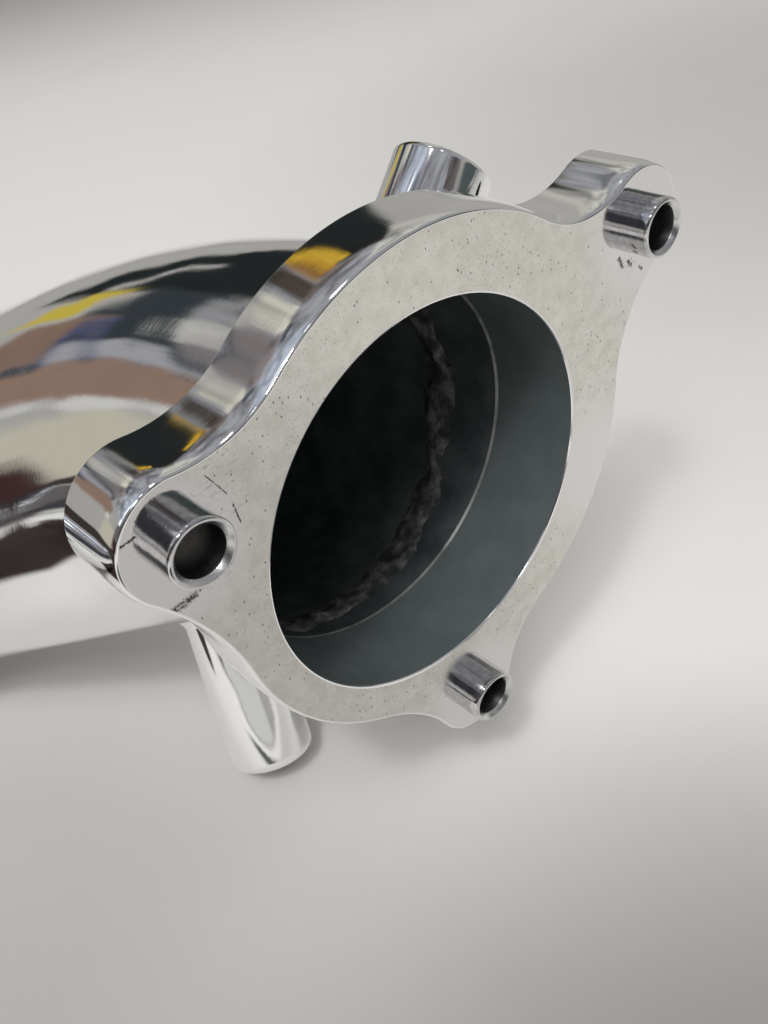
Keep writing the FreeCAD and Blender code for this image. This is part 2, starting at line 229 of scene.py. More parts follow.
def lapped(name, spots):
    """The flange's face: polished, then worn, with dark pits, short scratches and smears.
    spots gives clean and dense areas as x, z, inner and outer distance in millimetres,
    and lines as two ends and a width."""
    made, n, shader, mm = material(name)
    parts = n.new("ShaderNodeSeparateXYZ")
    socket(parts, 0, mm)
    x, z = parts.outputs[0], parts.outputs[2]
    flat = n.new("ShaderNodeCombineXYZ")
    socket(flat, 0, x)
    socket(flat, 2, z)
    flat = flat.outputs[0]
    patch = n.noise(flat, 0.045, 3.0, 0.55)
    cloud = n.noise(flat, 0.35, 4.0, 0.6)

    def near(px, pz, inner, outer):
        """1 near that point of the face, 0 beyond the outer distance."""
        gap = n.new("ShaderNodeVectorMath", operation="DISTANCE")
        socket(gap, 0, flat)
        socket(gap, 1, (px, 0, pz))
        return n.smooth(gap.outputs["Value"], inner, outer, 1.0, 0.0)

    clean = None
    for px, pz, inner, outer in spots["clean"]:
        area = near(px, pz, inner, outer)
        clean = area if clean is None else n.math("MAXIMUM", clean, area)
    worn = n.math("MULTIPLY", n.smooth(patch, 0.36, 0.62, 0.35, 1.0), n.math("SUBTRACT", 1.0, clean))
    dense = None
    for px, pz, inner, outer in spots["dense"]:
        area = near(px, pz, inner, outer)
        dense = area if dense is None else n.math("MAXIMUM", dense, area)

    def pits(scale, low, high, keep, stretch=1.0, turn=0.0):
        cells = n.cells(n.place(flat, scale=(1, 1, stretch), turn=(0, turn, 0)), scale)
        spot = n.smooth(cells.outputs["Distance"], low, high, 1.0, 0.0)
        chance = n.new("ShaderNodeSeparateColor")
        socket(chance, 0, cells.outputs["Color"])
        wanted = n.math("MULTIPLY_ADD", dense, 0.55, n.math("MULTIPLY", worn, keep))
        spot = n.math("MULTIPLY", spot, n.smooth(chance.outputs[1], 0.0, 1.0, 0.35, 1.0))
        return n.math("MULTIPLY", spot, n.math("LESS_THAN", chance.outputs[0], wanted))

    fine = pits(3.0, 0.16, 0.31, 0.80)
    small = pits(2.0, 0.11, 0.23, 0.66, 0.45, 0.12)
    large = pits(0.90, 0.05, 0.11, 0.08, 0.36, 0.20)
    pit = n.math("MAXIMUM", n.math("MULTIPLY", fine, 0.42), n.math("MULTIPLY", small, 0.85))
    pit = n.math("MAXIMUM", pit, large)
    streak = n.noise(n.place(flat, scale=(0.5, 1, 2.4), turn=(0, -0.75, 0)), 1.0, 5.0, 0.7)
    smear = n.math("MULTIPLY", dense, n.smooth(streak, 0.52, 0.64))
    marks = None
    for ax, az, bx, bz, width in spots["lines"]:
        length = math.hypot(bx - ax, bz - az)
        turn = math.atan2(bz - az, bx - ax)
        local = n.new("ShaderNodeMapping", vector_type="TEXTURE")
        socket(local, "Vector", flat)
        socket(local, "Location", ((ax + bx) / 2, 0, (az + bz) / 2))
        socket(local, "Rotation", (0, -turn, 0))
        axes = n.new("ShaderNodeSeparateXYZ")
        socket(axes, 0, local.outputs[0])
        ragged = n.math("MULTIPLY_ADD", n.noise(flat, 2.6, 5.0, 0.7), width * 3.0, width * -1.5)
        across = n.math("ADD", n.math("ABSOLUTE", axes.outputs[2]), ragged)
        along = n.math("ABSOLUTE", axes.outputs[0])
        line = n.math("MULTIPLY", n.smooth(across, width * 0.35, width, 1.0, 0.0),
                      n.smooth(along, length * 0.40, length * 0.52, 1.0, 0.0))
        line = n.math("MULTIPLY", line, n.smooth(n.noise(flat, 2.2, 2.0), 0.36, 0.52, 0.25, 1.0))
        marks = line if marks is None else n.math("MAXIMUM", marks, line)
    dark = n.math("MAXIMUM", n.math("MAXIMUM", pit, marks), n.math("MULTIPLY", smear, 0.3))
    base = n.mix(n.smooth(cloud, 0.3, 0.7), (0.63, 0.62, 0.58, 1), (0.73, 0.72, 0.685, 1))
    base = n.mix(clean, base, (0.75, 0.74, 0.745, 1))
    socket(shader, "Base Color", n.mix(dark, base, (0.10, 0.095, 0.09, 1)))
    satin = n.math("MULTIPLY_ADD", worn, 0.17, 0.045)
    satin = n.math("MULTIPLY_ADD", cloud, 0.03, satin)
    socket(shader, "Roughness", n.math("MULTIPLY_ADD", dark, 0.35, satin))
    normal = n.bump(n.noise(flat, 0.06, 1.0), 0.0006, 0.3)
    normal = n.bump(n.noise(flat, 3.0, 3.0), 0.00002, 0.35, normal)
    socket(shader, "Normal", n.bump(dark, -0.00002, 0.2, normal))
    return made


def machined(name, low, high, rough, ring_scale, metallic=1.0, stretch=0.0):
    """Turned metal: fine rings across the axis and an uneven, duller tone."""
    made, n, shader, mm = material(name, metallic)
    rings = n.noise(n.place(mm, scale=(0.03, ring_scale, 0.03)), 1.0, 4.0, 0.7)
    cloud = n.noise(mm, 0.16, 4.0, 0.6)
    if stretch:
        socket(shader, "Anisotropic", stretch)
        tangent = n.new("ShaderNodeTangent", direction_type="RADIAL", axis="Y")
        socket(shader, "Tangent", tangent.outputs[0])
    socket(shader, "Base Color", n.mix(n.smooth(cloud, 0.3, 0.75), low, high))
    socket(shader, "Roughness", n.math("MULTIPLY_ADD", rings, 0.12, rough))
    socket(shader, "Normal", n.bump(rings, 0.00004, 0.5, n.bump(cloud, 0.0002, 0.3)))
    return made


def raw_weld(name):
    """Unworked root bead: lumpy, sooty and dull."""
    made, n, shader, mm = material(name, 0.45)
    lumps = n.noise(mm, 0.30, 4.0, 0.6)
    grit = n.noise(mm, 2.6, 4.0, 0.7)
    tone = n.mix(n.smooth(lumps, 0.42, 0.72), (0.045, 0.05, 0.05, 1), (0.26, 0.255, 0.245, 1))
    socket(shader, "Base Color", n.mix(n.smooth(grit, 0.52, 0.7, 0.0, 0.4), tone, (0.17, 0.15, 0.14, 1)))
    socket(shader, "Roughness", n.smooth(grit, 0.3, 0.7, 0.35, 0.6))
    socket(shader, "Normal", n.bump(grit, 0.0003, 0.7, n.bump(lumps, 0.0008, 0.6)))
    return made


def turned_steel(name):
    """Bright turned steel with fine tool rings and a few scuffs."""
    made, n, shader, mm = material(name)
    rings = n.noise(n.place(mm, scale=(0.05, 7.0, 0.05)), 1.0, 3.0, 0.6)
    scuff = n.noise(mm, 1.1, 4.0, 0.6)
    base = n.mix(n.smooth(scuff, 0.35, 0.7), (0.58, 0.585, 0.60, 1), (0.72, 0.72, 0.73, 1))
    socket(shader, "Base Color", base)
    socket(shader, "Roughness", n.smooth(scuff, 0.35, 0.75, 0.05, 0.11))
    socket(shader, "Normal", n.bump(rings, 0.00001, 0.5, n.bump(scuff, 0.00003, 0.3)))
    return made


# Mesh building

class Build:
    """Collects points and faces in millimetres and makes one piece of them."""

    def __init__(self):
        self.points, self.faces, self.kinds = [], [], []

    def add(self, point):
        self.points.append(point)
        return len(self.points) - 1

    def ring(self, points):
        return [self.add(p) for p in points]

    def bridge(self, first, second, kind=0):
        """Quads between two closed rings of the same count."""
        count = len(first)
        for i in range(count):
            j = (i + 1) % count
            self.faces.append((first[i], first[j], second[j], second[i]))
            self.kinds.append(kind)

    def loft(self, rings, kind=0, closed=False):
        """Bridges each ring to the next; kind may be a list, one for each strip."""
        made = [self.ring(r) for r in rings]
        following = made[1:] + made[:1] if closed else made[1:]
        for number, (a, b) in enumerate(zip(made, following)):
            self.bridge(a, b, kind[number] if isinstance(kind, (list, tuple)) else kind)
        return made

    def fan(self, ring, kind=0):
        """Closes a ring with triangles round its middle."""
        middle = sum((self.points[i] for i in ring), Vector()) / len(ring)
        centre = self.add(middle)
        for i, j in zip(ring, ring[1:] + ring[:1]):
            self.faces.append((i, j, centre))
            self.kinds.append(kind)

    def piece(self, name, node, slot, materials, sharp=28.0, weighted=False):
        mesh = bpy.data.meshes.new(name)
        mesh.from_pydata([p * MM for p in self.points], [], self.faces)
        for made in materials:
            mesh.materials.append(made)
        mesh.polygons.foreach_set("material_index", self.kinds)
        work = bmesh.new()
        work.from_mesh(mesh)
        bmesh.ops.remove_doubles(work, verts=work.verts, dist=2e-6)
        bmesh.ops.dissolve_degenerate(work, dist=1e-7, edges=work.edges)
        bmesh.ops.recalc_face_normals(work, faces=work.faces)
        work.to_mesh(mesh)
        work.free()
        mesh.polygons.foreach_set("use_smooth", [True] * len(mesh.polygons))
        mesh.set_sharp_from_angle(angle=math.radians(sharp))
        made = bpy.data.objects.new(name, mesh)
        bpy.context.scene.collection.objects.link(made)
        if weighted:
            smooth = made.modifiers.new("Flat faces", "WEIGHTED_NORMAL")
            smooth.keep_sharp = True
            smooth.weight = 100
        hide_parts(node)
        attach(made, BODY)
        return made


def steps(low, high, count):
    return [low + (high - low) * i / count for i in range(count + 1)]


AROUND = 192
ROUND = [2 * math.pi * i / AROUND for i in range(AROUND)]


def arc_ring(arc, angle, offset, across):
    """A ring in the plane that lies at that offset along the tube from the arc's angle."""
    return [arc.point(arc.plane_angle(angle, offset, across, a), across, a) for a in ROUND]


def straight_ring(arc, along, across):
    """A ring on the straight that follows an arc."""
    shift = arc.end_heading() * along
    return [arc.point(arc.turn, across, a) + shift for a in ROUND]


def tube_piece(name, node, outer, inner, slot, skins):
    """A closed tube from its outer rings and, in the same order, its inner ones.
    A third material goes on the strip after the inner rings' first two."""
    build = Build()
    kinds = [0] * (len(outer) - 1) + [1] + [1] * (len(inner) - 1) + [1]
    if len(skins) > 2:
        kinds[-3] = 2
    build.loft(outer + inner[::-1], kinds, closed=True)
    return build.piece(name, node, slot, skins)


def bend_rings(arc, low, low_offset, high, high_offset, across, count):
    """Rings along an arc whose first and last lie in planes moved by the offsets."""
    rings = []
    for part in steps(0.0, 1.0, count):
        ring = []
        for a in ROUND:
            first = arc.plane_angle(low, low_offset, across, a)
            last = arc.plane_angle(high, high_offset, across, a)
            ring.append(arc.point(first + (last - first) * part, across, a))
        rings.append(ring)
    return rings


# Materials of the pieces

# The ears are polished brighter than the rim, and the marks lie round the left and right dowels.
face_spots = {
    "clean": [(-39.5, 18.5, 7.5, 13.0), (49.0, 22.5, 9.0, 17.0),
              (1.6, -43.0, 7.0, 14.0), (33.0, -14.0, 5.0, 17.0)],
    "dense": [(-31.2, 25.0, 1.5, 5.0), (-29.8, 20.0, 0.6, 3.4),
              (-34.5, 12.6, 0.5, 4.0), (44.0, 17.0, 0.5, 4.2)],
    "lines": [(-44.6, 23.7, -42.0, 23.9, 0.26), (-41.9, 11.9, -37.9, 12.2, 0.72),
              (-37.9, 12.2, -35.0, 13.6, 0.34), (-32.4, 26.0, -30.4, 21.8, 0.13),
              (-30.2, 20.6, -30.0, 17.2, 0.16), (41.3, 18.8, 42.4, 16.5, 0.46),
              (43.4, 17.4, 44.6, 15.9, 0.42), (46.2, 15.2, 47.2, 14.2, 0.32),
              (-44.3, 15.3, -43.6, 13.6, 0.16)],
}
skin = polished("polished_skin")
flange_side = polished("polished_flange_side", 0.84, 0.05)
boss_skin = polished("polished_boss", 0.87, 0.04)
flange_face = lapped("lapped_face", face_spots)
bore_skin = machined("machined_bore", (0.27, 0.315, 0.32, 1), (0.33, 0.375, 0.38, 1), 0.38, 3.0,
                     metallic=0.72, stretch=0.90)
step_skin = machined("step_edge", (0.10, 0.105, 0.10, 1), (0.30, 0.30, 0.29, 1), 0.35, 1.0, metallic=0.5)
# The duct's inner wall: dull metal, painted near-black, partly as painted shade of the deep duct.
inside = machined("dull_inside_painted_shade", (0.050, 0.058, 0.062, 1), (0.105, 0.115, 0.12, 1), 0.42, 1.2,
                  metallic=0.4)
root = raw_weld("raw_root")
steel = turned_steel("turned_steel")
edge_skin = polished("bright_edge", 0.93, 0.10)
sink_skin = machined("turned_sink", grey(0.62), grey(0.80), 0.20, 6.0)
dowel_bore = machined("dowel_bore", grey(0.10), grey(0.26), 0.30, 2.0)
hole_skin = machined("drilled_hole", grey(0.40), grey(0.55), 0.30, 4.0)

# Tube pieces

stub_outer = bend_rings(front_arc, 0.0, NECK + GROOVE, STUB_ANGLE, -GROOVE, TUBE_R, 8)
stub_inner = [arc_ring(front_arc, 0.0, NECK, TUBE_R - GROOVE), arc_ring(front_arc, 0.0, NECK, BORE_R)]
stub_inner += bend_rings(front_arc, 0.0, NECK + STUB_MOUTH, STUB_ANGLE, -ROOT_GAP, INNER_R, 10)
stub = tube_piece("stub_tube_skin", "stub_tube", stub_outer, stub_inner, "polished_tube",
                  [skin, inside, step_skin])

bend_count = 44
front_outer = bend_rings(front_arc, STUB_ANGLE, GROOVE, TURN, 0.0, TUBE_R, bend_count)
front_inner = bend_rings(front_arc, STUB_ANGLE, ROOT_GAP, TURN, 0.0, INNER_R, bend_count)
front_outer += [straight_ring(front_arc, t, TUBE_R) for t in steps(0, STRAIGHT - GROOVE, 12)[1:]]
front_inner += [straight_ring(front_arc, t, INNER_R) for t in steps(0, STRAIGHT - ROOT_GAP, 12)[1:]]
front = tube_piece("front_bend_skin", "front_bend", front_outer, front_inner, "polished_tube",
                   [skin, inside])

rear_outer = bend_rings(rear_arc, 0.0, GROOVE, turn_two, -GROOVE, TUBE_R, 60)
rear_inner = bend_rings(rear_arc, 0.0, ROOT_GAP, turn_two, -ROOT_GAP, INNER_R, 60)
tube_piece("rear_bend_skin", "rear_bend", rear_outer, rear_inner, "polished_tube", [skin, inside])

BEAD_START, BEAD_END, BEAD_HIGH = 109.0, 114.0, 1.6
LIP, CHAMFER = 0.6, 0.3


def outlet_profile(radius):
    """Distance along the outlet and radius, through the rolled bead."""
    half = (BEAD_END - BEAD_START) / 2
    bulge = (half ** 2 + BEAD_HIGH ** 2) / (2 * BEAD_HIGH)
    swing = math.asin(half / bulge)
    path = []
    for a in steps(-swing, swing, 14):
        height = BEAD_HIGH - bulge * (1 - math.cos(a))
        path.append((BEAD_START + half + bulge * math.sin(a), radius + height))
    return path


outer_path = [(t, TUBE_R) for t in steps(GROOVE, BEAD_START - 1, 14)] + outlet_profile(TUBE_R)
outer_path += [(OUTLET - LIP * (1 - math.sin(a)), TUBE_R - LIP * (1 - math.cos(a)))
               for a in steps(0, math.pi / 2, 5)]
inner_path = [(t, INNER_R) for t in steps(ROOT_GAP, BEAD_START - 1, 14)] + outlet_profile(INNER_R)
inner_path += [(OUTLET - CHAMFER, INNER_R), (OUTLET, INNER_R + CHAMFER)]
tube_piece("outlet_tube_skin", "outlet_tube", [straight_ring(rear_arc, t, r) for t, r in outer_path],
           [straight_ring(rear_arc, t, r) for t, r in inner_path], "polished_tube", [skin, inside])


# Welds

ROOT_WIDE = 2.5


def rough(point, size, seed):
    """Uneven height at a point, about -1 to 1, the same in every run."""
    return noise.fractal(point * size + Vector((seed, seed * 1.7, -seed)), 0.9, 2.0, 5)


def seam(name, node, place, seed):
    """A butt weld: dressed flush outside, a lumpy root bead inside.
    place(offset, across) gives the ring at that offset along the tube."""
    build = Build()
    rings = [place(-ROOT_GAP, INNER_R)]
    rings += [place(along, TUBE_R) for along in steps(-GROOVE, GROOVE, 4)]
    rings.append(place(ROOT_GAP, INNER_R))
    kinds = [1, 0, 0, 0, 0, 1]
    bead = []
    for along in steps(ROOT_WIDE, -ROOT_WIDE, 18):
        ring = place(along, INNER_R)
        centre = sum(ring, Vector()) / len(ring)
        shape = max(0.0, 1 - (along / ROOT_WIDE) ** 2)
        lumpy = []
        for point in ring:
            inward = (centre - point).normalized()
            lift = 0.06 + 0.62 * shape + 1.0 * (0.12 + shape) * rough(point, 0.20, seed)
            slip = rough(point, 0.13, seed + 9.0) * 1.8
            lumpy.append(point + inward * max(0.03, lift) + (place.heading * slip))
        bead.append(lumpy)
    kinds += [1] * (len(bead) + 1)
    build.loft(rings + bead, kinds, closed=True)
    return build.piece(name, node, "weld_metal", [skin, root], sharp=50.0)


class Plane:
    """Rings round the tube near one plane of an arc, which a straight may follow."""

    def __init__(self, arc, angle, straight_after=False):
        self.arc, self.angle, self.straight_after = arc, angle, straight_after
        self.heading = (arc.heading * math.cos(angle) + arc.inward * math.sin(angle))

    def __call__(self, offset, across):
        if self.straight_after and offset > 0:
            return straight_ring(self.arc, offset, across)
        return arc_ring(self.arc, self.angle, offset, across)


class BeforeRearBend:
    """Rings near the plane where the first straight meets the rear bend."""
    heading = rear_arc.heading

    def __call__(self, offset, across):
        if offset > 0:
            return arc_ring(rear_arc, 0.0, offset, across)
        return [p + heading * offset for p in arc_ring(rear_arc, 0.0, 0.0, across)]


stub_weld = seam("stub_weld_bead", "stub_weld", Plane(front_arc, STUB_ANGLE), 3.0)
seam("middle_weld_bead", "middle_weld", BeforeRearBend(), 17.0)
seam("outlet_weld_bead", "outlet_weld", Plane(rear_arc, turn_two, straight_after=True), 31.0)

neck = Build()
neck.loft([arc_ring(front_arc, 0.0, NECK, TUBE_R - GROOVE)]
          + [arc_ring(front_arc, 0.0, NECK + t, TUBE_R) for t in steps(-GROOVE, GROOVE, 4)], closed=True)
neck.piece("neck_weld_band", "neck_weld", "weld_metal", [skin])


# Bosses

class Boss:
    """A round boss on the first bend: place is its distance along the centreline, turned its angle
    round the tube in degrees, height what stands above the tube, depth that of a blind hole."""

    def __init__(self, place, turned, radius, height, corner, hole, depth):
        angle = place / BEND_R
        self.centre = front_arc.point(angle, 0.0, 0.0)
        ahead = Y_AXIS * math.cos(angle) + INWARD * math.sin(angle)
        away = (OUTWARD - ahead * OUTWARD.dot(ahead)).normalized()
        self.axis = Matrix.Rotation(math.radians(turned), 3, ahead) @ away
        self.u = (ahead - self.axis * ahead.dot(self.axis)).normalized()
        self.v = self.axis.cross(self.u)
        self.radius, self.top, self.corner = radius, TUBE_R + height, corner
        self.hole, self.depth = hole, depth

    def spoke(self, angle):
        return self.u * math.cos(angle) + self.v * math.sin(angle)

    def at(self, angle, radius, height):
        return self.centre + self.spoke(angle) * radius + self.axis * height

    def standing(self, angle, radius, across):
        """The height at which a line beside the axis is that far from the tube's centreline."""
        low, high = 5.0, across + 12.0
        for _ in range(40):
            middle = (low + high) / 2
            if off_centreline(self.at(angle, radius, middle))[0] < across:
                low = middle
            else:
                high = middle
        return (low + high) / 2


def off_centreline(point):
    """Distance from the first bend's centreline, and the direction away from it."""
    hub = BEND_START + INWARD * BEND_R
    v = point - hub
    x, y, b = v.dot(OUTWARD), v.dot(Y_AXIS), v.dot(front_arc.binormal)
    if math.atan2(y, x) > TURN:
        w = point - bend_end
        away = w - heading * w.dot(heading)
        return away.length, away.normalized()
    flat = math.hypot(x, y)
    radial = (OUTWARD * x + Y_AXIS * y) / flat
    away = radial * (flat - BEND_R) + front_arc.binormal * b
    return away.length, away.normalized()


BOSS_ROUND = [2 * math.pi * i / 128 for i in range(128)]
WELD_LEG = 2.2
HOLE_EDGE, DRILL_POINT, MIDDLE_R = 0.6, 118.0, 0.02


def boss_piece(name, node, boss):
    """A boss that follows the tube's surface, with a blind hole or one that goes right through."""
    build = Build()
    inner = boss.hole
    quarter = steps(0, math.pi / 2, 10)
    foot = [boss.standing(a, boss.radius, TUBE_R) for a in BOSS_ROUND]
    straight = boss.top - boss.corner
    rings = [[boss.at(a, inner, boss.standing(a, inner, TUBE_R)) for a in BOSS_ROUND],
             [boss.at(a, boss.radius, h) for a, h in zip(BOSS_ROUND, foot)],
             [boss.at(a, boss.radius, h + WELD_LEG) for a, h in zip(BOSS_ROUND, foot)]]
    for part in (0.35, 0.7):
        rings.append([boss.at(a, boss.radius, h * (1 - part) + straight * part)
                      for a, h in zip(BOSS_ROUND, foot)])
    for q in quarter:
        rings.append([boss.at(a, boss.radius - boss.corner + boss.corner * math.cos(q),
                              straight + boss.corner * math.sin(q)) for a in BOSS_ROUND])
    for radius, height in ((inner + HOLE_EDGE, boss.top), (inner, boss.top - HOLE_EDGE)):
        rings.append([boss.at(a, radius, height) for a in BOSS_ROUND])
    if boss.depth:
        floor = boss.top - boss.depth
        rings.append([boss.at(a, inner, floor) for a in BOSS_ROUND])
        tip = floor - inner / math.tan(math.radians(DRILL_POINT / 2))
        rings.append([boss.at(a, MIDDLE_R, tip) for a in BOSS_ROUND])
        base = [boss.at(a, MIDDLE_R, boss.standing(a, MIDDLE_R, TUBE_R)) for a in BOSS_ROUND]
        body = rings[1:]
        made = build.loft(body, [0] * (len(body) - 4) + [1, 1, 1])
        under = build.loft([base, rings[1]], 1)
        build.fan(made[-1], 1)
        build.fan(under[0], 1)
    else:
        build.loft(rings, [1] + [0] * (len(rings) - 2) + [1], closed=True)
    return build.piece(name, node, "polished_boss", [boss_skin, hole_skin])


def weld_piece(name, node, boss, seed):
    """A concave fillet that rolls round the foot of a boss, slightly uneven as welded."""
    build = Build()
    rings = [[] for _ in range(13)]
    for a in BOSS_ROUND:
        spoke = boss.spoke(a)
        height = boss.standing(a, boss.radius + WELD_LEG, TUBE_R + WELD_LEG)
        ball = boss.at(a, boss.radius + WELD_LEG, height)
        away = off_centreline(ball)[1]
        to_boss, to_tube = -spoke, -away
        swing = to_boss.angle(to_tube)
        for number, part in enumerate(steps(0.0, 1.0, 11)):
            mixed = to_boss * math.sin((1 - part) * swing) + to_tube * math.sin(part * swing)
            mixed /= math.sin(swing)
            fill = math.sin(part * math.pi) ** 2
            ripple = 0.16 * fill * rough(ball + mixed, 0.8, seed)
            rings[number].append(ball + mixed * (WELD_LEG - max(-0.12, ripple) * fill))
        rings[12].append(boss.at(a, boss.radius, boss.standing(a, boss.radius, TUBE_R)))
    build.loft(rings, closed=True)
    return build.piece(name, node, "weld_metal", [boss_skin], sharp=50.0)


port = Boss(11.1, -9.8, 8.1, 15.7, 1.1, 4.3, 0.0)
post = Boss(50.2, 137.6, 7.9, 31.5, 2.2, 3.4, 18.0)
boss_piece("port_boss_skin", "port_boss", port)
boss_piece("mounting_post_skin", "mounting_post", post)
weld_piece("port_boss_fillet", "port_boss_weld", port, 5.0)
weld_piece("post_fillet", "post_weld", post, 11.0)


# Flange

# Each ear: reach and angle of its centre, its radius, and the hollow blends before and after it.
EARS = ((51.8, 24.8, 8.9, 21.0, 16.0), (42.1, 151.9, 8.9, 20.0, 42.0), (41.6, 272.2, 8.7, 31.0, 15.5))
RIM_R = 38.6
RIM = Vector((2.6, 1.1))


def polar(reach, degrees):
    return Vector((reach * math.cos(math.radians(degrees)), reach * math.sin(math.radians(degrees))))


def arc_points(centre, radius, first, last, through, spacing):
    """Points and outward normals along an arc, without its last point."""
    start = math.atan2(*(first - centre).yx)
    swing = (math.atan2(*(last - centre).yx) - start) % (2 * math.pi)
    passed = (math.atan2(*(through - centre).yx) - start) % (2 * math.pi)
    hollow = passed > swing
    if hollow:
        swing -= 2 * math.pi
    count = max(6, round(abs(swing) * radius / spacing))
    made = []
    for i in range(count):
        a = start + swing * i / count
        out = Vector((math.cos(a), math.sin(a)))
        made.append((centre + out * radius, -out if hollow else out))
    return made


def flange_outline(spacing=0.8):
    """The outline in x and z, counterclockwise, with its outward normals."""
    corners = []
    for reach, degrees, ear_radius, before, after in EARS:
        ear = polar(reach, degrees)
        ray = ear - RIM
        gap = ray.length
        ray.normalize()
        left = Vector((-ray.y, ray.x))
        blends = []
        for blend, side in ((before, -1), (after, 1)):
            from_rim, from_ear = RIM_R + blend, ear_radius + blend
            along = (from_rim ** 2 - from_ear ** 2 + gap ** 2) / (2 * gap)
            hollow = RIM + ray * along + left * (math.sqrt(from_rim ** 2 - along ** 2) * side)
            rim_point = RIM + (hollow - RIM) * (RIM_R / from_rim)
            tip_point = ear + (hollow - ear) * (ear_radius / from_ear)
            middle = hollow + ((rim_point + tip_point) / 2 - hollow).normalized() * blend
            blends.append((hollow, blend, rim_point, middle, tip_point))
        corners.append((ear, ear_radius, ear + ray * ear_radius, blends[0], blends[1]))
    path = []
    for (ear, radius, tip, before, after), following in zip(corners, corners[1:] + corners[:1]):
        path += arc_points(before[0], before[1], before[2], before[4], before[3], spacing)
        path += arc_points(ear, radius, before[4], after[4], tip, spacing)
        path += arc_points(after[0], after[1], after[4], after[2], after[3], spacing)
        toward = ((after[2] + following[3][2]) / 2 - RIM).normalized()
        path += arc_points(RIM, RIM_R, after[2], following[3][2], RIM + toward * RIM_R, spacing)
    return path


def circle(x, z, radius, count):
    angles = [2 * math.pi * i / count for i in range(count)]
    return [Vector((x + radius * math.cos(a), z + radius * math.sin(a))) for a in angles]


def inside_loop(point, loop):
    """Whether a point lies in a closed loop, by counting the edges to its right."""
    within = False
    for a, b in zip(loop, loop[1:] + loop[:1]):
        if (a.y > point.y) != (b.y > point.y):
            if point.x < (b.x - a.x) * (point.y - a.y) / (b.y - a.y) + a.x:
                within = not within
    return within


def flat_cap(build, outer, holes, y, kind):
    """Fills the area between an outer loop and its holes with triangles."""
    points, edges = [], []
    for loop in [outer] + holes:
        first = len(points)
        points += loop
        edges += [(first + i, first + (i + 1) % len(loop)) for i in range(len(loop))]
    verts, _, faces, _, _, _ = delaunay_2d_cdt(points, edges, [], 0, 1e-5)
    index = build.ring([Vector((v.x, y, v.y)) for v in verts])
    for face in faces:
        middle = sum((verts[i] for i in face), Vector((0, 0))) / len(face)
        if inside_loop(middle, outer) and not any(inside_loop(middle, hole) for hole in holes):
            build.faces.append(tuple(index[i] for i in face))
            build.kinds.append(kind)


def lift(loop, y):
    return [Vector((p.x, y, p.y)) for p in loop]


outline = flange_outline()
bolts = [polar(reach, degrees) for reach, degrees, *_ in EARS]
SHANK_R, BOLT_R, DOWEL_R, SEAT = 4.3, 3.3, 4.5, 6.0
SHOULDER = DOWEL_R - SHANK_R
DOWEL_ROUND = 96
CROWN, CROWN_DEEP, EDGE_R = 0.5, 4.2, 0.40
BACK_EDGE = [(0.0, 6.5), (0.0, 8.6), (0.0, 10.7), (0.04, 10.85), (0.12, 10.95), (0.26, PLATE)]
BORE_EDGE = 0.3


def inset(amount, y):
    """The outline at that depth, moved inwards."""
    return [Vector((p.x - n.x * amount, y, p.y - n.y * amount)) for p, n in outline]


def crown(y):
    """How far the side falls back near the face."""
    return CROWN * (1 - y / CROWN_DEEP) ** 3


flange = Build()
slope = math.atan(3 * CROWN / CROWN_DEEP)
edge_end = EDGE_R * (1 - math.sin(slope))
edge_centre = crown(edge_end) + EDGE_R * math.cos(slope)
side = [(edge_centre - EDGE_R * math.cos(a), EDGE_R * (1 - math.sin(a)))
        for a in steps(math.pi / 2, slope, 6)]
side += [(crown(y), y) for y in steps(edge_end, CROWN_DEEP, 16)[1:]]
side += BACK_EDGE
flange.loft([inset(*s) for s in side], 1)
face_loop = [Vector((p.x, p.z)) for p in inset(side[0][0], 0)]
back_loop = [Vector((p.x, p.z)) for p in inset(side[-1][0], 0)]
bore_mouth = circle(0, 0, BORE_R + BORE_EDGE, AROUND)
bore_loop = circle(0, 0, BORE_R, AROUND)
mouths, seats, bolt_holes = [[circle(b.x, b.y, radius, DOWEL_ROUND) for b in bolts]
                             for radius in (DOWEL_R, SHANK_R, BOLT_R)]
flat_cap(flange, face_loop, [bore_mouth] + mouths, 0.0, 0)
neck_foot = arc_ring(front_arc, 0.0, 0.0, TUBE_R)
flat_cap(flange, back_loop, [[Vector((p.x, p.z)) for p in neck_foot]] + bolt_holes, PLATE, 1)
flange.loft([lift(bore_mouth, 0.0), lift(circle(0, 0, BORE_R + 0.1, AROUND), 0.1)]
            + [lift(bore_loop, y) for y in steps(BORE_EDGE, NECK_END, 10)], [2, 2] + [3] * 10)
neck_end = arc_ring(front_arc, 0.0, NECK, TUBE_R - GROOVE)
flange.loft([neck_foot] + [arc_ring(front_arc, 0.0, t, TUBE_R) for t in (1.0, 2.0, 3.0)] + [neck_end], 1)
flat_cap(flange, [Vector((p.x, p.z)) for p in neck_end], [bore_loop], NECK_END, 3)
for mouth, seat, hole in zip(mouths, seats, bolt_holes):
    flange.loft([lift(mouth, 0.0), lift(seat, SHOULDER), lift(seat, SEAT),
                 lift(hole, SEAT), lift(hole, PLATE)], 4)
flange.piece("flange_body", "flange", "flange_aluminium",
             [flange_face, flange_side, edge_skin, bore_skin, hole_skin], sharp=20.0, weighted=True)


# Dowels

